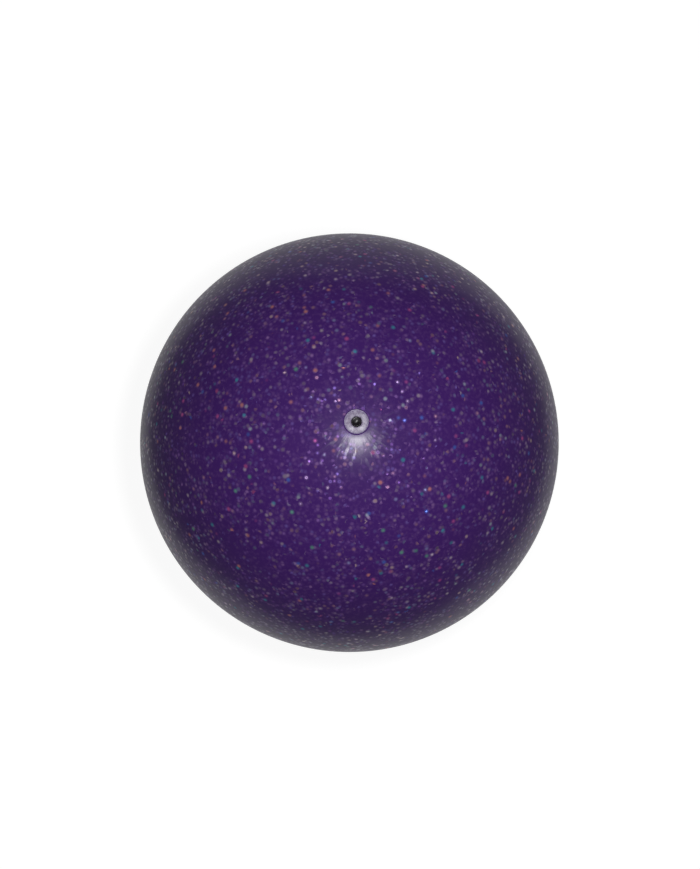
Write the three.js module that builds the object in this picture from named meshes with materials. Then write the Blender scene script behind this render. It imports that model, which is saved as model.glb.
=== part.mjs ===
// Rhythmic gymnastics ball. A hollow coloured ball carries a clear glitter skin, and a soft
// valve at the top of it is closed by a push-in stopper. Millimetres, +Z up. The valve is on
// the Z axis, and the origin is the middle of the small flat that the ball rests on.
import * as THREE from 'three';

// Ball
const BALL_DIAMETER = 185;
const SKIN_THICKNESS = 1; // clear outer layer that holds the glitter
const WALL_THICKNESS = 2.4; // coloured wall under the skin
const CONTACT_DEPTH = 0.5; // how far the ball's own weight flattens it where it rests

// Valve: a soft grommet through the wall, with a collar outside and an anchor flange inside
const BORE_DIAMETER = 4.2;
const MOUTH_CHAMFER = 0.3;
const BARREL_WALL = 1.4;
const COLLAR_LIP = 1.5; // how far the collar stands out past the barrel
const COLLAR_THICKNESS = 1.6;
const COLLAR_EDGE_RADIUS = 0.4;
const ANCHOR_LIP = 4; // how far the anchor flange stands out past the barrel
const ANCHOR_THICKNESS = 1.2;
const SEAT_THICKNESS = 2.5; // end of the barrel, under the stopper
const AIR_HOLE_DIAMETER = 1.6; // through the seat, into the ball

// Boss: a thick pad on the inside of the wall that the anchor flange lies against
const BOSS_MARGIN = 2.5; // beyond the anchor flange
const BOSS_HEIGHT = 1;

// Stopper
const STOPPER_LENGTH = 10;
const STOPPER_RECESS = 0.9; // head below the collar's face
const HEAD_LENGTH = 1.8;
const NOSE_LENGTH = 1.5;
const NOSE_TAPER = 0.6;
const RIB_COUNT = 3; // sealing ribs between the nose and the head
const RIB_HEIGHT = 0.3;
const RIB_WIDTH = 1;
const RIB_CREST = 0.4;
const DISH_RIM = 0.45; // flat ring round the dished face of the head
const DISH_DEPTH = 0.4;

// Fits
const FIT_GAP = 0.3; // between pieces that touch on the real ball
const STOPPER_CLEARANCE = 0.15; // ribs to bore, taken up by the soft lips on the real ball

// Facets
const BALL_SEGMENTS = 48;
const HALF_ARC_STEPS = 12; // from the equator to either end of the ball's outline
const VALVE_SEGMENTS = 24;
const EDGE_ARC_STEPS = 3;
const DISH_ARC_STEPS = 3;

// Spheres of the two layers, round the middle of the ball
const skinOuterRadius = BALL_DIAMETER / 2;
const skinInnerRadius = skinOuterRadius - SKIN_THICKNESS;
const wallOuterRadius = skinInnerRadius - FIT_GAP;
const wallInnerRadius = wallOuterRadius - WALL_THICKNESS;

// Radii of the valve and stopper
const boreRadius = BORE_DIAMETER / 2;
const airHoleRadius = AIR_HOLE_DIAMETER / 2;
const barrelRadius = boreRadius + BARREL_WALL;
const tipRadius = airHoleRadius + BARREL_WALL;
const collarRadius = barrelRadius + COLLAR_LIP;
const anchorRadius = barrelRadius + ANCHOR_LIP;
const bossRadius = anchorRadius + BOSS_MARGIN;
const recessRadius = collarRadius + FIT_GAP;
const neckHoleRadius = barrelRadius + FIT_GAP;
const crestRadius = boreRadius - STOPPER_CLEARANCE;
const stemRadius = crestRadius - RIB_HEIGHT;

// Heights of the valve and stopper above the middle of the ball. The collar's face lies flush
// with the rim of the hole in the skin.
const collarTop = heightOnSphere(skinOuterRadius, recessRadius);
const collarBottom = collarTop - COLLAR_THICKNESS;
const recessFloor = collarBottom - FIT_GAP;
const bossFace = heightOnSphere(wallInnerRadius, bossRadius) - BOSS_HEIGHT;
const anchorTop = bossFace - FIT_GAP;
const anchorBottom = anchorTop - ANCHOR_THICKNESS;
const headTop = collarTop - STOPPER_RECESS;
const noseBottom = headTop - STOPPER_LENGTH;
const seatTop = noseBottom - FIT_GAP;
const tipBottom = seatTop - SEAT_THICKNESS;
const taperTop = Math.min(seatTop, anchorBottom);

function heightOnSphere(sphereRadius, radius) {
  return Math.sqrt(sphereRadius ** 2 - radius ** 2);
}

// Points of an arc round (x, y), from one angle to another
function arc(x, y, radius, from, to, steps) {
  const points = [];
  for (let step = 0; step <= steps; step += 1) {
    const angle = THREE.MathUtils.lerp(from, to, step / steps);
    points.push(new THREE.Vector2(x + radius * Math.cos(angle), y + radius * Math.sin(angle)));
  }
  return points;
}

function corners(...pairs) {
  return pairs.map(([radius, height]) => new THREE.Vector2(radius, height));
}

// Half outline of a sphere that rests on a flat, from the edge of that flat through the equator
// up to the hole of the given radius round the valve
function restingArc(sphereRadius, holeRadius) {
  const flatEdge = -Math.acos(flatRadius(sphereRadius) / sphereRadius);
  const holeEdge = Math.acos(holeRadius / sphereRadius);
  const lowerHalf = arc(0, 0, sphereRadius, flatEdge, 0, HALF_ARC_STEPS);
  const upperHalf = arc(0, 0, sphereRadius, 0, holeEdge, HALF_ARC_STEPS);
  return [...lowerHalf, ...upperHalf.slice(1)];
}

function flatRadius(sphereRadius) {
  return heightOnSphere(sphereRadius, sphereRadius - CONTACT_DEPTH);
}

function flatMiddle(sphereRadius) {
  return corners([0, CONTACT_DEPTH - sphereRadius]);
}

// A named piece turned round the Z axis. Its profile runs up the outside and down the inside.
function turned(name, profile, segments, look) {
  const geometry = new THREE.LatheGeometry(profile, segments);
  geometry.rotateX(Math.PI / 2);
  const mesh = new THREE.Mesh(geometry, new THREE.MeshStandardMaterial(look));
  mesh.name = name;
  return mesh;
}

function glitterSkin() {
  const profile = [
    ...flatMiddle(skinOuterRadius),
    ...restingArc(skinOuterRadius, recessRadius),
    ...restingArc(skinInnerRadius, recessRadius).reverse(),
    ...flatMiddle(skinInnerRadius),
  ];
  const look = { color: 0x422660, roughness: 0.25, metalness: 0.1 };
  return turned('glitter_skin', profile, BALL_SEGMENTS, look);
}

function ballWall() {
  const valveSeat = corners(
    [recessRadius, recessFloor],
    [neckHoleRadius, recessFloor],
    [neckHoleRadius, bossFace],
    [bossRadius, bossFace],
  );
  const profile = [
    ...flatMiddle(wallOuterRadius),
    ...restingArc(wallOuterRadius, recessRadius),
    ...valveSeat,
    ...restingArc(wallInnerRadius, bossRadius).reverse(),
    ...flatMiddle(wallInnerRadius),
  ];
  const look = { color: 0x3d2266, roughness: 0.5, metalness: 0 };
  return turned('ball_wall', profile, BALL_SEGMENTS, look);
}

function valveGrommet() {
  const outside = corners(
    [airHoleRadius, tipBottom],
    [tipRadius, tipBottom],
    [barrelRadius, taperTop],
    [barrelRadius, anchorBottom],
    [anchorRadius, anchorBottom],
    [anchorRadius, anchorTop],
    [barrelRadius, anchorTop],
    [barrelRadius, collarBottom],
    [collarRadius, collarBottom],
  );
  const edgeRadius = Math.min(COLLAR_EDGE_RADIUS, COLLAR_THICKNESS / 2);
  const edge = arc(
    collarRadius - edgeRadius,
    collarTop - edgeRadius,
    edgeRadius,
    0,
    Math.PI / 2,
    EDGE_ARC_STEPS,
  );
  const bore = corners(
    [boreRadius + MOUTH_CHAMFER, collarTop],
    [boreRadius, collarTop - MOUTH_CHAMFER],
    [boreRadius, seatTop],
    [airHoleRadius, seatTop],
    [airHoleRadius, tipBottom],
  );
  const look = { color: 0xa79fb2, roughness: 0.4, metalness: 0 };
  return turned('valve_grommet', [...outside, ...edge, ...bore], VALVE_SEGMENTS, look);
}

function valveStopper() {
  const stemBottom = noseBottom + NOSE_LENGTH;
  const stemTop = headTop - HEAD_LENGTH;
  const ribPitch = (stemTop - stemBottom) / RIB_COUNT;
  const profile = corners([0, noseBottom], [stemRadius - NOSE_TAPER, noseBottom], [stemRadius, stemBottom]);
  for (let rib = 0; rib < RIB_COUNT; rib += 1) {
    const middle = stemBottom + (rib + 0.5) * ribPitch;
    profile.push(...corners(
      [stemRadius, middle - RIB_WIDTH / 2],
      [crestRadius, middle - RIB_CREST / 2],
      [crestRadius, middle + RIB_CREST / 2],
      [stemRadius, middle + RIB_WIDTH / 2],
    ));
  }
  profile.push(...corners([stemRadius, stemTop], [crestRadius, stemTop], [crestRadius, headTop]));

  // The dish is part of a sphere through its rim and its deepest point
  const dishRadius = crestRadius - DISH_RIM;
  const dishSphere = (dishRadius ** 2 + DISH_DEPTH ** 2) / (2 * DISH_DEPTH);
  const dishCentre = headTop - DISH_DEPTH + dishSphere;
  const dishEdge = -Math.acos(dishRadius / dishSphere);
  profile.push(...arc(0, dishCentre, dishSphere, dishEdge, -Math.PI / 2, DISH_ARC_STEPS));
  profile.at(-1).x = 0;
  const look = { color: 0x141217, roughness: 0.35, metalness: 0 };
  return turned('valve_stopper', profile, VALVE_SEGMENTS, look);
}

const ball = new THREE.Group();
ball.add(ballWall(), glitterSkin(), valveGrommet(), valveStopper());
ball.position.z = skinOuterRadius - CONTACT_DEPTH;

export default ball;
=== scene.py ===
"""Looks of the rhythmic gymnastics ball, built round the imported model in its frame, in metres."""
import math
import random

import bmesh
import bpy
from mathutils import Matrix, Vector


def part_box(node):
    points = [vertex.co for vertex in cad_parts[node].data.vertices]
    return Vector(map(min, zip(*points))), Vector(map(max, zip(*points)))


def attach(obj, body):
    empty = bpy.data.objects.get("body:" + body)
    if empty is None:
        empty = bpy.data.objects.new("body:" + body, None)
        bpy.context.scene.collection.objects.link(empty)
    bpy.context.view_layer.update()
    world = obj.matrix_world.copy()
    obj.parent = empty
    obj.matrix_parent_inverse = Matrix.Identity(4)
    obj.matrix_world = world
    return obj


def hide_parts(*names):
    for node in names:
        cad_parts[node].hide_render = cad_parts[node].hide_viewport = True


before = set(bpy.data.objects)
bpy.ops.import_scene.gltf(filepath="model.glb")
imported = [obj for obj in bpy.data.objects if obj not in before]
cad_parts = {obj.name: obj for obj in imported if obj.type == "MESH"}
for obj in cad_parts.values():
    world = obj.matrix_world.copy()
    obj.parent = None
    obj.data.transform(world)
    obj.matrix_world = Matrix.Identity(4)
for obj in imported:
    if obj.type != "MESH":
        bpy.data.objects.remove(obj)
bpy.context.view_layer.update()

MM = 0.001
TINY = 1e-9


def srgb(red, green, blue):
    """A colour for a socket, from the 0 to 255 values that it shows as."""
    def linear(value):
        share = value / 255
        return share / 12.92 if share <= 0.04045 else ((share + 0.055) / 1.055) ** 2.4
    return (linear(red), linear(green), linear(blue), 1.0)


# The ball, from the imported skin
skin_low, skin_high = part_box("glitter_skin")
BALL_RADIUS = (skin_high.x - skin_low.x) / 2
CONTACT_DEPTH = 0.5 * MM
BALL_CENTRE = Vector((0, 0, BALL_RADIUS - CONTACT_DEPTH))
SKIN_THICKNESS = 1 * MM
WALL_THICKNESS = 2.4 * MM
FIT_GAP = 0.3 * MM

# The valve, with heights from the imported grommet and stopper
grommet_low, grommet_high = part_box("valve_grommet")
stopper_low, stopper_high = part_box("valve_stopper")
COLLAR_TOP = grommet_high.z
TIP_BOTTOM = grommet_low.z
ANCHOR_RADIUS = grommet_high.x
BORE_RADIUS = 2.1 * MM
MOUTH_FILLET = 0.6 * MM
BARREL_RADIUS = 3.5 * MM
COLLAR_RADIUS = 5 * MM
COLLAR_THICKNESS = 1.6 * MM
COLLAR_DOME = 60 * MM
LIP_WIDTH = 0.4 * MM
LIP_DEPTH = 0.1 * MM
LIP_FILLET = 0.3 * MM
GROOVE_WIDTH = 0.35 * MM
GROOVE_DEPTH = 0.15 * MM
ANCHOR_THICKNESS = 1.2 * MM
AIR_HOLE_RADIUS = 0.8 * MM
TIP_RADIUS = 2.2 * MM
BOSS_RADIUS = 10 * MM
BOSS_HEIGHT = 1 * MM
RECESS_RADIUS = COLLAR_RADIUS + FIT_GAP
SKIN_HOLE_RADIUS = COLLAR_RADIUS + 0.05 * MM
NECK_HOLE_RADIUS = BARREL_RADIUS + FIT_GAP
SEAT_TOP = stopper_low.z - FIT_GAP

# The stopper
CREST_RADIUS = stopper_high.x
RIB_HEIGHT = 0.3 * MM
RIB_WIDTH = 1 * MM
RIB_CREST = 0.4 * MM
RIB_COUNT = 3
HEAD_LENGTH = 1.8 * MM
NOSE_LENGTH = 1.5 * MM
NOSE_TAPER = 0.6 * MM
DISH_RIM = 0.2 * MM
DISH_DEPTH = 0.32 * MM
DISH_NARROWING = 1.2
DISH_TURN = math.radians(40)

# Fillets of the edges, from the sharpest
HAIR_FILLET = 0.05 * MM
RIB_FOOT_FILLET = 0.1 * MM
HEAD_FOOT_FILLET = 0.12 * MM
RIB_CREST_FILLET = 0.15 * MM
SMALL_FILLET = 0.2 * MM
HOLE_FILLET = 0.3 * MM
EDGE_FILLET = 0.4 * MM
ROOT_FILLET = 0.5 * MM
BARREL_FILLET = 0.6 * MM
FACE_FILLET = 1.1 * MM

# Fineness of the meshes
BALL_SEGMENTS = 192
ARC_STEP = math.radians(1.5)
INNER_ARC_STEP = math.radians(5)
VALVE_SEGMENTS = 96
FILLET_STEPS = 5
FACE_STEPS = 4
DISH_RINGS = 12
SHARP_ANGLE = math.radians(40)

# Shallow puckers that the valve draws into the skin round it
PUCKER_REACH = 17 * MM
PUCKER_RING_STEP = 0.6 * MM
PUCKER_DEPTH = 0.02 * MM
PUCKER_LOBES = (5, 9, 14, 21)
PUCKER_SEED = 7

# Colours of the flakes, each with its share of the family
FINE_COLOURS = (
    (0.40, srgb(89, 58, 122)),
    (0.30, srgb(102, 71, 129)),
    (0.22, srgb(95, 74, 141)),
    (0.08, srgb(121, 89, 141)),
)
BRIGHT_COLOURS = (
    (0.50, srgb(123, 102, 137)),
    (0.30, srgb(136, 99, 125)),
    (0.20, srgb(107, 105, 146)),
)
CREAM_COLOURS = (
    (0.50, srgb(172, 154, 174)),
    (0.25, srgb(180, 152, 160)),
    (0.25, srgb(154, 160, 178)),
)
LARGE_COLOURS = (
    (0.12, srgb(150, 134, 160)),
    (0.24, srgb(172, 80, 140)),
    (0.22, srgb(184, 118, 118)),
    (0.19, srgb(66, 132, 158)),
    (0.15, srgb(72, 96, 178)),
    (0.08, srgb(94, 146, 130)),
)

# Families of flakes: spacing, radius, share of the places that are filled, metal, lean and colours
GLITTER = (
    (1.7 * MM, 1.6 * MM, 0.44, 0.3, 0.4, FINE_COLOURS),
    (2.0 * MM, 1.6 * MM, 0.16, 0.45, 0.5, BRIGHT_COLOURS),
    (2.6 * MM, 1.5 * MM, 0.05, 0.6, 0.55, CREAM_COLOURS),
    (3.2 * MM, 1.7 * MM, 0.16, 0.45, 0.35, LARGE_COLOURS),
)
FLAKE_ROUGHNESS = 0.33
CROWD_SPACINGS = 4
CROWD_LEAST = 0.1
CROWD_MOST = 1.9

# The purple ground under the flakes, with glitter dust too fine to see singly
GROUND_DARK = srgb(55, 26, 90)
GROUND_LIGHT = srgb(62, 30, 98)
GROUND_CLOUD = 30 * MM
GROUND_ROUGHNESS = 0.5
DUST_COLOUR = srgb(106, 74, 126)
DUST_SIZE = 1.5 * MM
DUST_MOST = 0.22

# The clear gloss over them, which ripples and thins out at its edge
RIPPLE_SIZE = 4 * MM
RIPPLE_DEPTH = 0.03 * MM
COAT = 0.15
COAT_AT_EDGE = 0.35 * COAT
COAT_FADE = 2.4 * MM

# Flow lines that run out from the valve in the gloss, with glossier strokes along their crests
STREAK_DEPTH = 0.04 * MM
STREAK_LENGTH = 6.5 * MM
STREAK_COUNT = 7.0
STREAK_FULL = 2 * COLLAR_RADIUS
STREAK_REACH = 26 * MM
STROKE_FULL = 2.6 * COLLAR_RADIUS
STROKE_COAT = 0.6
STROKE_BAND = (0.52, 0.63)

# The wall's purple rubber
WALL_DARK = srgb(52, 26, 92)
WALL_LIGHT = srgb(66, 34, 106)
WALL_CLOUD = 12 * MM
WALL_GRAIN = 0.8 * MM
WALL_GRAIN_DEPTH = 0.03 * MM
WALL_ROUGHNESS = (0.42, 0.6)

# The grommet's milky plastic, which the wall shows through near the collar's edge
MILKY_DARK = srgb(118, 106, 132)
MILKY_LIGHT = srgb(158, 152, 170)
MILKY_PATCH = 2 * MM
THIN_COLOUR = srgb(78, 56, 110)
THIN_START = 3.8 * MM
THIN_MOST = 0.75
DENT_SIZE = 1.6 * MM
DENT_DEPTH = 0.08 * MM
GROMMET_ROUGHNESS = (0.3, 0.4)

# The stopper's black rubber
BLACK = srgb(10, 6, 12)
WORN_GREY = srgb(28, 22, 31)
WEAR_SIZE = 0.9 * MM
BLACK_GRAIN = 0.5 * MM
BLACK_GRAIN_DEPTH = 0.02 * MM
STOPPER_ROUGHNESS = (0.3, 0.4)

# Bands of a noise's values over which a pattern comes in
WIDE_BAND = (0.3, 0.7)
NARROW_BAND = (0.35, 0.65)
HIGH_BAND = (0.45, 0.8)

# The photograph's frame and what it shows, in pixels
IMAGE_WIDTH = 700
IMAGE_HEIGHT = 869
BALL_PIXEL = (349.4, 442.7)
BALL_PIXEL_RADIUS = 209.4
VALVE_PIXEL = (356.5, 421.5)
HIGHLIGHT_PIXEL = (357.0, 439.0)
CAMERA_DISTANCE = 1.0
SENSOR_MM = 36

# Pixels of the camera's focal length, and of the ball's radius at the point nearest to the camera
FOCAL_PIXELS = BALL_PIXEL_RADIUS * math.sqrt(CAMERA_DISTANCE ** 2 - BALL_RADIUS ** 2) / BALL_RADIUS
NEAR_PIXELS = FOCAL_PIXELS * BALL_RADIUS / (CAMERA_DISTANCE - BALL_RADIUS)

# Studio: a soft lamp beside the camera, over a white sheet on a pale grey floor in a dim room
LAMP_DISTANCE = 0.65
LAMP_SIZE = 0.075
LAMP_LEVEL = 1.05
WHITE = (1, 1, 1, 1)
SHEET_LOW = (-0.183, -0.21)
SHEET_HIGH = (0.21, 1.8)
SHEET_SHARE = 0.6
SHEET_WHITE = 1.56
SHEET_PAPER = (0.4, 0.4, 0.4, 1)
FLOOR_SIZE = 8.0
FLOOR_DROP = 0.5 * MM
FLOOR_DARK = (0.22, 0.22, 0.22, 1)
FLOOR_LIGHT = (0.26, 0.26, 0.26, 1)
FLOOR_CLOUD = 0.5
FLOOR_EVEN = 1.1
ROOM_GREY = 0.15
ROOM_LIGHT = 0.04


# Shapes

def arc(centre, radius, start, end, step):
    """Points of an arc in a half section, as (radius, height) pairs."""
    count = max(1, math.ceil(abs(end - start) / step))
    angles = [start + (end - start) * k / count for k in range(count + 1)]
    return [Vector((centre[0] + radius * math.cos(a), centre[1] + radius * math.sin(a))) for a in angles]


def rounded(*corners):
    """An outline with an arc in place of each (radius, height, fillet) corner that has a fillet."""
    points = []
    for k, (x, y, fillet) in enumerate(corners):
        corner = Vector((x, y))
        if not fillet:
            points.append(corner)
            continue
        before = (Vector(corners[k - 1][:2]) - corner).normalized()
        after = (Vector(corners[k + 1][:2]) - corner).normalized()
        half = before.angle(after) / 2
        middle = corner + (before + after).normalized() * fillet / math.sin(half)
        first = corner + before * fillet / math.tan(half) - middle
        last = corner + after * fillet / math.tan(half) - middle
        for t in range(FILLET_STEPS + 1):
            points.append(middle + first.slerp(last, t / FILLET_STEPS) * fillet)
    return points


def turned(name, outline, segments):
    """A smooth solid turned round the Z axis. Its outline runs up the outside and down the inside."""
    bm = bmesh.new()
    closes = (outline[0] - outline[-1]).length < TINY
    rings = []
    for radius, height in outline[:-1] if closes else outline:
        turns = segments if radius > TINY else 1
        angles = [2 * math.pi * k / segments for k in range(turns)]
        spots = [(radius * math.cos(a), radius * math.sin(a), height) for a in angles]
        rings.append([bm.verts.new(spot) for spot in spots])
    if closes:
        rings.append(rings[0])
    for lower, upper in zip(rings, rings[1:]):
        for k in range(segments):
            n = (k + 1) % segments
            corners = [
                lower[k % len(lower)],
                lower[n % len(lower)],
                upper[n % len(upper)],
                upper[k % len(upper)],
            ]
            bm.faces.new(dict.fromkeys(corners)).smooth = True
    mesh = bpy.data.meshes.new(name)
    bm.to_mesh(mesh)
    bm.free()
    mesh.set_sharp_from_angle(angle=SHARP_ANGLE)
    piece = bpy.data.objects.new(name, mesh)
    bpy.context.scene.collection.objects.link(piece)
    return piece


def resting_arc(sphere, hole, step):
    """Half section of a sphere, from the middle of the flat it rests on to the hole round the valve."""
    flat_edge = -math.acos(math.sqrt(sphere ** 2 - (sphere - CONTACT_DEPTH) ** 2) / sphere)
    middle = Vector((0, BALL_CENTRE.z - sphere + CONTACT_DEPTH))
    return [middle] + arc((0, BALL_CENTRE.z), sphere, flat_edge, math.acos(hole / sphere), step)


def height_on_sphere(sphere, radius):
    return BALL_CENTRE.z + math.sqrt(sphere ** 2 - radius ** 2)


def glitter_skin():
    inner = BALL_RADIUS - SKIN_THICKNESS
    outside = resting_arc(BALL_RADIUS, PUCKER_REACH, ARC_STEP)
    rings = int((PUCKER_REACH - SKIN_HOLE_RADIUS - 2 * LIP_WIDTH) / PUCKER_RING_STEP)
    near = [PUCKER_REACH - k * PUCKER_RING_STEP for k in range(1, rings)]
    outside += [Vector((r, height_on_sphere(BALL_RADIUS, r))) for r in near]
    last = outside[-1]
    lip_edge = SKIN_HOLE_RADIUS + LIP_WIDTH
    lip = rounded(
        (last.x, last.y, 0),
        (lip_edge, height_on_sphere(BALL_RADIUS, lip_edge), LIP_FILLET),
        (SKIN_HOLE_RADIUS, COLLAR_TOP - LIP_DEPTH, HAIR_FILLET),
        (SKIN_HOLE_RADIUS, height_on_sphere(inner, SKIN_HOLE_RADIUS), 0),
    )
    inside = resting_arc(inner, SKIN_HOLE_RADIUS, INNER_ARC_STEP)[::-1]
    piece = turned("clear_glitter_skin", outside + lip[1:-1] + inside, BALL_SEGMENTS)
    pucker(piece)
    return piece


def pucker(piece):
    """Draws shallow radial puckers into the skin round the valve."""
    draw = random.Random(PUCKER_SEED)
    waves = [(n, draw.uniform(0, 2 * math.pi), draw.uniform(0.5, 1)) for n in PUCKER_LOBES]
    for vertex in piece.data.vertices:
        radius = vertex.co.xy.length
        outward = (vertex.co - BALL_CENTRE).normalized()
        share = (PUCKER_REACH - radius) / (PUCKER_REACH - RECESS_RADIUS)
        on_outside = (vertex.co - BALL_CENTRE).length > BALL_RADIUS - SKIN_THICKNESS / 2
        if outward.z < 0 or not on_outside or not 0 < share < 1:
            continue
        angle = math.atan2(vertex.co.y, vertex.co.x)
        wave = sum(size * math.cos(n * angle + phase) for n, phase, size in waves) / len(waves)
        vertex.co -= outward * PUCKER_DEPTH * math.sin(math.pi * share) ** 2 * (1 + wave)


def ball_wall():
    outer = BALL_RADIUS - SKIN_THICKNESS - FIT_GAP
    inner = outer - WALL_THICKNESS
    recess_floor = COLLAR_TOP - COLLAR_THICKNESS - FIT_GAP
    boss_edge = height_on_sphere(inner, BOSS_RADIUS)
    seat = rounded(
        (RECESS_RADIUS, height_on_sphere(outer, RECESS_RADIUS), 0),
        (RECESS_RADIUS, recess_floor, SMALL_FILLET),
        (NECK_HOLE_RADIUS, recess_floor, SMALL_FILLET),
        (NECK_HOLE_RADIUS, boss_edge - BOSS_HEIGHT, HOLE_FILLET),
        (BOSS_RADIUS, boss_edge - BOSS_HEIGHT, EDGE_FILLET),
        (BOSS_RADIUS, boss_edge, 0),
    )
    outside = resting_arc(outer, RECESS_RADIUS, INNER_ARC_STEP / 2)
    inside = resting_arc(inner, BOSS_RADIUS, INNER_ARC_STEP)[::-1]
    return turned("purple_ball_wall", outside + seat[1:-1] + inside, BALL_SEGMENTS)


def valve_grommet():
    inner = BALL_RADIUS - SKIN_THICKNESS - FIT_GAP - WALL_THICKNESS
    anchor_top = height_on_sphere(inner, BOSS_RADIUS) - BOSS_HEIGHT - FIT_GAP
    anchor_bottom = anchor_top - ANCHOR_THICKNESS
    collar_bottom = COLLAR_TOP - COLLAR_THICKNESS

    def dome(radius):
        return COLLAR_TOP - radius ** 2 / (2 * COLLAR_DOME)

    face_edge = COLLAR_RADIUS - GROOVE_WIDTH
    mouth = BORE_RADIUS + MOUTH_FILLET
    face = [face_edge + (mouth - face_edge) * k / FACE_STEPS for k in range(1, FACE_STEPS + 1)]
    outline = rounded(
        (AIR_HOLE_RADIUS, TIP_BOTTOM, 0),
        (TIP_RADIUS, TIP_BOTTOM, EDGE_FILLET),
        (BARREL_RADIUS, SEAT_TOP, BARREL_FILLET),
        (BARREL_RADIUS, anchor_bottom, ROOT_FILLET),
        (ANCHOR_RADIUS, anchor_bottom, EDGE_FILLET),
        (ANCHOR_RADIUS, anchor_top, SMALL_FILLET),
        (BARREL_RADIUS, anchor_top, SMALL_FILLET),
        (BARREL_RADIUS, collar_bottom, SMALL_FILLET),
        (COLLAR_RADIUS, collar_bottom, SMALL_FILLET),
        (COLLAR_RADIUS, COLLAR_TOP - GROOVE_DEPTH, HAIR_FILLET),
        (face_edge, dome(face_edge), FACE_FILLET),
        *((radius, dome(radius), 0) for radius in face),
        (BORE_RADIUS, dome(BORE_RADIUS), MOUTH_FILLET),
        (BORE_RADIUS, SEAT_TOP, HOLE_FILLET),
        (AIR_HOLE_RADIUS, SEAT_TOP, SMALL_FILLET),
        (AIR_HOLE_RADIUS, TIP_BOTTOM, 0),
    )
    return turned("milky_valve_grommet", outline, VALVE_SEGMENTS)


def valve_stopper():
    head_top = stopper_high.z
    nose_bottom = stopper_low.z
    stem = CREST_RADIUS - RIB_HEIGHT
    dish = CREST_RADIUS - DISH_RIM
    stem_bottom = nose_bottom + NOSE_LENGTH
    stem_top = head_top - HEAD_LENGTH
    corners = [
        (0, nose_bottom, 0),
        (stem - NOSE_TAPER, nose_bottom, EDGE_FILLET),
        (stem, stem_bottom, ROOT_FILLET),
    ]
    pitch = (stem_top - stem_bottom) / RIB_COUNT
    for rib in range(RIB_COUNT):
        middle = stem_bottom + (rib + 0.5) * pitch
        corners += [
            (stem, middle - RIB_WIDTH / 2, RIB_FOOT_FILLET),
            (CREST_RADIUS, middle - RIB_CREST / 2, RIB_CREST_FILLET),
            (CREST_RADIUS, middle + RIB_CREST / 2, RIB_CREST_FILLET),
            (stem, middle + RIB_WIDTH / 2, RIB_FOOT_FILLET),
        ]
    corners += [
        (stem, stem_top, RIB_FOOT_FILLET),
        (CREST_RADIUS, stem_top, HEAD_FOOT_FILLET),
        (CREST_RADIUS, head_top, SMALL_FILLET),
        (dish, head_top, 0),
    ]
    face = [Vector((dish * (1 - ring / DISH_RINGS), head_top)) for ring in range(1, DISH_RINGS + 1)]
    piece = turned("black_valve_stopper", rounded(*corners) + face, VALVE_SEGMENTS)
    for vertex in piece.data.vertices:
        reach = vertex.co.xy.length / dish
        if reach < 1 and vertex.co.z > stem_top:
            across = reach * math.sin(math.atan2(vertex.co.y, vertex.co.x) - DISH_TURN)
            vertex.co.z -= DISH_DEPTH * (1 - reach ** 2) / (1 + DISH_NARROWING * across ** 2)
    return piece


# Materials

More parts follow.
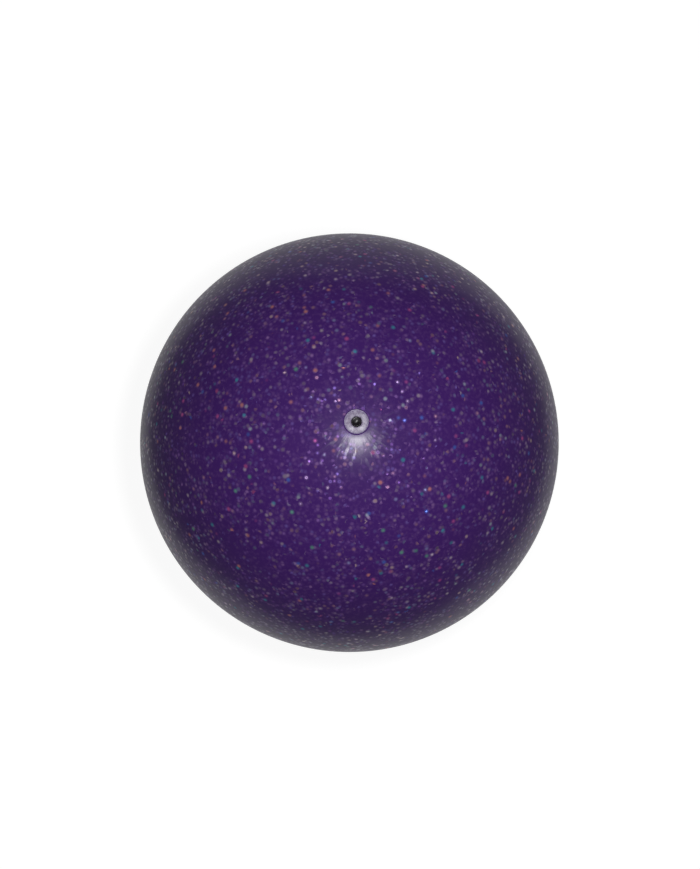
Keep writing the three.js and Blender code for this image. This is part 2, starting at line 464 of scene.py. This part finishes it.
class Shader:
    """A material and its node tree. Each call adds nodes and gives back a socket to go on from."""

    def __init__(self, owner):
        self.material = owner
        owner.use_nodes = True
        self.tree = owner.node_tree
        self.tree.nodes.clear()

    def add(self, kind, inputs, **settings):
        """Adds one node, with its inputs linked or set, and gives back the node."""
        node = self.tree.nodes.new("ShaderNode" + kind)
        for name, value in settings.items():
            setattr(node, name, value)
        for socket, value in inputs.items():
            if isinstance(value, bpy.types.NodeSocket):
                self.tree.links.new(value, node.inputs[socket])
            else:
                node.inputs[socket].default_value = value
        return node

    def math(self, operation, *values):
        return self.add("Math", dict(enumerate(values)), operation=operation).outputs[0]

    def vector(self, operation, *values):
        return self.add("VectorMath", dict(enumerate(values)), operation=operation).outputs["Vector"]

    def measure(self, operation, *values):
        return self.add("VectorMath", dict(enumerate(values)), operation=operation).outputs["Value"]

    def scale(self, vector, factor):
        return self.add("VectorMath", {0: vector, "Scale": factor}, operation="SCALE").outputs["Vector"]

    def ramp(self, value, low, high, to_low=0.0, to_high=1.0):
        inputs = {"Value": value, 1: low, 2: high, 3: to_low, 4: to_high}
        return self.add("MapRange", inputs, interpolation_type="SMOOTHSTEP").outputs[0]

    def mix_colour(self, factor, first, second):
        return self.add("Mix", {0: factor, 6: first, 7: second}, data_type="RGBA").outputs[2]

    def mix_value(self, factor, first, second):
        return self.add("Mix", {0: factor, 2: first, 3: second}, data_type="FLOAT").outputs[0]

    def mix_vector(self, factor, first, second):
        return self.add("Mix", {0: factor, 4: first, 5: second}, data_type="VECTOR").outputs[1]

    def palette(self, value, colours):
        """One of the (share, colour) pairs' colours, each over its share of the range 0 to 1."""
        node = self.add("ValToRGB", {"Fac": value})
        stops = node.color_ramp.elements
        node.color_ramp.interpolation = "CONSTANT"
        start = 0.0
        for k, (share, colour) in enumerate(colours):
            stop = stops[k] if k < len(stops) else stops.new(start)
            stop.position = start
            stop.color = colour
            start += share
        return node.outputs["Color"]

    def noise(self, where, size, detail=3.0):
        inputs = {"Vector": where, "Scale": 1 / size, "Detail": detail}
        return self.add("TexNoise", inputs).outputs["Fac"]

    def bump(self, height, depth):
        return self.add("Bump", {"Height": height, "Distance": depth, "Strength": 1.0}).outputs[0]

    def places(self):
        return self.add("TexCoord", {}).outputs["Object"]

    def normal(self):
        return self.add("NewGeometry", {}).outputs["Normal"]

    def in_view(self):
        """1 for rays from the camera and for reflections, 0 for the light that falls on things."""
        rays = self.add("LightPath", {}).outputs
        seen = self.math("ADD", rays["Is Camera Ray"], rays["Is Glossy Ray"])
        return self.math("MINIMUM", self.math("ADD", seen, rays["Is Transmission Ray"]), 1.0)

    def finish(self, inputs):
        """Ends the material with one principled surface."""
        surface = self.add("BsdfPrincipled", inputs).outputs[0]
        self.add("OutputMaterial", {"Surface": surface})
        return self.material

    def finish_mixed(self, share, colour, glow, strength):
        """Ends the material with a matt surface, of which a share is an even glow instead."""
        matt = self.add("BsdfDiffuse", {"Color": colour}).outputs[0]
        even = self.add("Emission", {"Color": glow, "Strength": strength}).outputs[0]
        surface = self.add("MixShader", {0: share, 1: matt, 2: even}).outputs[0]
        self.add("OutputMaterial", {"Surface": surface})
        return self.material


def flakes(shader, where, spacing, radius, share, lean):
    """Mask, random number and leaning normal of flakes of one size, scattered through the skin."""
    cells = shader.add("TexVoronoi", {"Vector": where, "Scale": 1 / spacing})
    own = shader.add("TexWhiteNoise", {"Vector": cells.outputs["Position"]})
    soft = shader.ramp(cells.outputs["Distance"], radius / spacing, 0.0)
    clouds = shader.noise(where, CROWD_SPACINGS * spacing)
    crowd = shader.ramp(clouds, *WIDE_BAND, CROWD_LEAST * share, CROWD_MOST * share)
    there = shader.math("LESS_THAN", own.outputs["Value"], crowd)
    mask = shader.math("MULTIPLY", shader.math("POWER", soft, 2.0), there)
    pick = shader.add("SeparateColor", {"Color": own.outputs["Color"]}).outputs["Green"]
    spread = shader.vector("SUBTRACT", cells.outputs["Color"], (0.5, 0.5, 0.5))
    leaning = shader.vector("ADD", shader.normal(), shader.scale(spread, 2 * lean))
    return mask, pick, shader.vector("NORMALIZE", leaning)


def streaks(shader, where, away):
    """Height of the flow lines that run out from the valve, and extra gloss of their crests."""
    spoke = shader.vector("NORMALIZE", shader.vector("MULTIPLY", where, (1, 1, 0)))
    along = shader.add("CombineXYZ", {"Z": shader.math("DIVIDE", away, STREAK_LENGTH)}).outputs[0]
    track = shader.vector("ADD", shader.scale(spoke, STREAK_COUNT), along)
    lines = shader.noise(track, 1.0, detail=2.0)
    fade = shader.ramp(away, STREAK_REACH, STREAK_FULL)
    depth = shader.ramp(away, COLLAR_RADIUS, STREAK_FULL, 0.0, STREAK_DEPTH)
    height = shader.math("MULTIPLY", lines, shader.math("MULTIPLY", depth, fade))
    crests = shader.math("MULTIPLY", shader.ramp(lines, *STROKE_BAND), fade)
    strength = shader.ramp(away, STREAK_FULL, STROKE_FULL, 0.0, STROKE_COAT)
    return height, shader.math("MULTIPLY", crests, strength)


def skin_material():
    """Clear gloss over a purple ground, with fine glitter all through it and larger bright flakes."""
    shader = Shader(bpy.data.materials.new("glitter_skin"))
    where = shader.places()
    ground = shader.mix_colour(shader.noise(where, GROUND_CLOUD), GROUND_DARK, GROUND_LIGHT)
    dust = shader.ramp(shader.noise(where, DUST_SIZE, detail=2.0), *HIGH_BAND, 0.0, DUST_MOST)
    colour = shader.mix_colour(dust, ground, DUST_COLOUR)
    metal = 0.0
    roughness = GROUND_ROUGHNESS
    normal = shader.normal()
    for spacing, radius, share, shine, lean, colours in GLITTER:
        mask, pick, tilted = flakes(shader, where, spacing, radius, share, lean)
        colour = shader.mix_colour(mask, colour, shader.palette(pick, colours))
        metal = shader.mix_value(mask, metal, shine)
        roughness = shader.mix_value(mask, roughness, FLAKE_ROUGHNESS)
        normal = shader.mix_vector(mask, normal, tilted)
    away = shader.measure("DISTANCE", where, (0, 0, COLLAR_TOP))
    ripple = shader.math("MULTIPLY", shader.noise(where, RIPPLE_SIZE, detail=2.0), RIPPLE_DEPTH)
    lines, strokes = streaks(shader, where, away)
    gloss = shader.bump(shader.math("ADD", ripple, lines), 1.0)
    coat = shader.ramp(away, SKIN_HOLE_RADIUS, SKIN_HOLE_RADIUS + COAT_FADE, COAT_AT_EDGE, COAT)
    return shader.finish({
        "Base Color": colour,
        "Metallic": metal,
        "Roughness": roughness,
        "Specular IOR Level": 0.055,
        "Specular Tint": (0.75, 0.72, 0.78, 1),
        "Normal": normal,
        "Coat Weight": shader.math("ADD", coat, strokes),
        "Coat IOR": 1.6,
        "Coat Roughness": 0.23,
        "Coat Normal": gloss,
    })


def wall_material():
    """Satin purple rubber with a faint moulded grain."""
    shader = Shader(bpy.data.materials.new("purple_rubber"))
    where = shader.places()
    grain = shader.noise(where, WALL_GRAIN)
    return shader.finish({
        "Base Color": shader.mix_colour(shader.noise(where, WALL_CLOUD), WALL_DARK, WALL_LIGHT),
        "Roughness": shader.ramp(grain, *WIDE_BAND, *WALL_ROUGHNESS),
        "Normal": shader.bump(grain, WALL_GRAIN_DEPTH),
    })


def grommet_material():
    """Milky soft plastic, darker where it thins towards the collar's edge."""
    shader = Shader(bpy.data.materials.new("milky_plastic"))
    where = shader.places()
    patches = shader.ramp(shader.noise(where, MILKY_PATCH), *NARROW_BAND)
    milky = shader.mix_colour(patches, MILKY_DARK, MILKY_LIGHT)
    from_axis = shader.measure("LENGTH", shader.vector("MULTIPLY", where, (1, 1, 0)))
    height = shader.add("SeparateXYZ", {0: where}).outputs["Z"]
    on_collar = shader.math("GREATER_THAN", height, COLLAR_TOP - COLLAR_THICKNESS)
    near_edge = shader.ramp(from_axis, THIN_START, COLLAR_RADIUS, 0.0, THIN_MOST)
    thin = shader.math("MULTIPLY", on_collar, near_edge)
    dents = shader.noise(where, DENT_SIZE, detail=2.0)
    return shader.finish({
        "Base Color": shader.mix_colour(thin, milky, THIN_COLOUR),
        "Roughness": shader.ramp(dents, *WIDE_BAND, *GROMMET_ROUGHNESS),
        "Specular IOR Level": 0.17,
        "Normal": shader.bump(dents, DENT_DEPTH),
        "Subsurface Weight": 0.3,
        "Subsurface Radius": (1.0, 0.9, 1.0),
        "Subsurface Scale": 0.6 * MM,
    })


def stopper_material():
    """Black rubber, a little dusty and worn grey in places."""
    shader = Shader(bpy.data.materials.new("black_rubber"))
    where = shader.places()
    wear = shader.ramp(shader.noise(where, WEAR_SIZE), *HIGH_BAND)
    return shader.finish({
        "Base Color": shader.mix_colour(wear, BLACK, WORN_GREY),
        "Roughness": shader.ramp(wear, 0.0, 1.0, *STOPPER_ROUGHNESS),
        "Specular IOR Level": 0.22,
        "Normal": shader.bump(shader.noise(where, BLACK_GRAIN), BLACK_GRAIN_DEPTH),
    })


# Studio

def level_sheet(name, low, high, height, material):
    """A level rectangle of the stage between two corners."""
    corners = [(low[0], low[1]), (high[0], low[1]), (high[0], high[1]), (low[0], high[1])]
    mesh = bpy.data.meshes.new(name)
    mesh.from_pydata([(x, y, height) for x, y in corners], [], [(0, 1, 2, 3)])
    mesh.materials.append(material)
    sheet = bpy.data.objects.new(name, mesh)
    bpy.context.scene.collection.objects.link(sheet)


def sheet_material():
    """White paper that stays white to the camera and in reflections, and keeps the ball's shadow."""
    shader = Shader(bpy.data.materials.new("white_sheet"))
    share = shader.math("MULTIPLY", shader.in_view(), SHEET_SHARE)
    return shader.finish_mixed(share, SHEET_PAPER, WHITE, SHEET_WHITE)


def floor_material():
    """A matt floor that looks evenly lit and gives little light back."""
    shader = Shader(bpy.data.materials.new("grey_floor"))
    clouds = shader.noise(shader.places(), FLOOR_CLOUD)
    shade = shader.mix_colour(clouds, FLOOR_DARK, FLOOR_LIGHT)
    return shader.finish_mixed(shader.in_view(), shade, shade, FLOOR_EVEN)


def room():
    """A plain grey room that gives little light of its own."""
    shader = Shader(bpy.data.worlds.new("room"))
    level = shader.mix_value(shader.in_view(), ROOM_LIGHT, ROOM_GREY)
    surface = shader.add("Background", {"Color": WHITE, "Strength": level}).outputs[0]
    shader.add("OutputWorld", {"Surface": surface})
    return shader.material


def make_stage():
    half = FLOOR_SIZE / 2
    level_sheet("white_sheet", SHEET_LOW, SHEET_HIGH, 0, sheet_material())
    level_sheet("floor", (-half, -half), (half, half), -FLOOR_DROP, floor_material())
    bpy.context.scene.world = room()


def spot_on_ball(pixel):
    """Where a pixel near the ball's middle lies on it, in radii: right, up and towards the camera."""
    across = (pixel[0] - BALL_PIXEL[0]) / NEAR_PIXELS
    along = (BALL_PIXEL[1] - pixel[1]) / NEAR_PIXELS
    return across, along, math.sqrt(1 - across ** 2 - along ** 2)


def view_axes():
    """Right, up and back of a camera that sees the valve where the photograph does."""
    across, along, nearer = spot_on_ball(VALVE_PIXEL)
    back = Vector((-across, -along, nearer))
    right = Vector((0, 1, 0)).cross(back).normalized()
    return right, back.cross(right), back


def make_camera(right, up, back):
    """A camera that sees the ball in the photograph's place and size."""
    camera = bpy.data.objects.new("camera", bpy.data.cameras.new("camera"))
    turn = Matrix((right, up, back)).transposed().to_4x4()
    camera.matrix_world = Matrix.Translation(BALL_CENTRE + back * CAMERA_DISTANCE) @ turn
    camera.data.sensor_fit = "VERTICAL"
    camera.data.sensor_height = SENSOR_MM
    camera.data.lens = FOCAL_PIXELS * SENSOR_MM / IMAGE_HEIGHT
    camera.data.shift_x = (IMAGE_WIDTH / 2 - BALL_PIXEL[0]) / IMAGE_HEIGHT
    camera.data.shift_y = (BALL_PIXEL[1] - IMAGE_HEIGHT / 2) / IMAGE_HEIGHT
    bpy.context.scene.collection.objects.link(camera)
    bpy.context.scene.camera = camera


def make_lamp(right, up, back):
    """A round lamp that the ball mirrors at the photograph's highlight."""
    across, along, nearer = spot_on_ball(HIGHLIGHT_PIXEL)
    normal = right * across + up * along + back * nearer
    towards = 2 * normal.dot(back) * normal - back
    lamp = bpy.data.objects.new("lamp", bpy.data.lights.new("lamp", "AREA"))
    lamp.data.shape = "DISK"
    lamp.data.size = LAMP_SIZE
    lamp.data.energy = LAMP_LEVEL * math.pi ** 2 * (LAMP_DISTANCE - BALL_RADIUS) ** 2
    lamp.location = BALL_CENTRE + towards * LAMP_DISTANCE
    lamp.rotation_mode = "QUATERNION"
    lamp.rotation_quaternion = towards.to_track_quat("Z", "Y")
    bpy.context.scene.collection.objects.link(lamp)


def place(piece, material, body, node):
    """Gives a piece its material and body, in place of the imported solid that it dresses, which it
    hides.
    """
    piece.data.materials.append(material)
    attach(piece, body)
    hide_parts(node)


place(glitter_skin(), skin_material(), "ball", "glitter_skin")
place(ball_wall(), wall_material(), "ball", "ball_wall")
place(valve_grommet(), grommet_material(), "ball", "valve_grommet")
place(valve_stopper(), stopper_material(), "stopper", "valve_stopper")
make_stage()
make_camera(*view_axes())
make_lamp(*view_axes())
bpy.context.scene.view_settings.view_transform = "Standard"
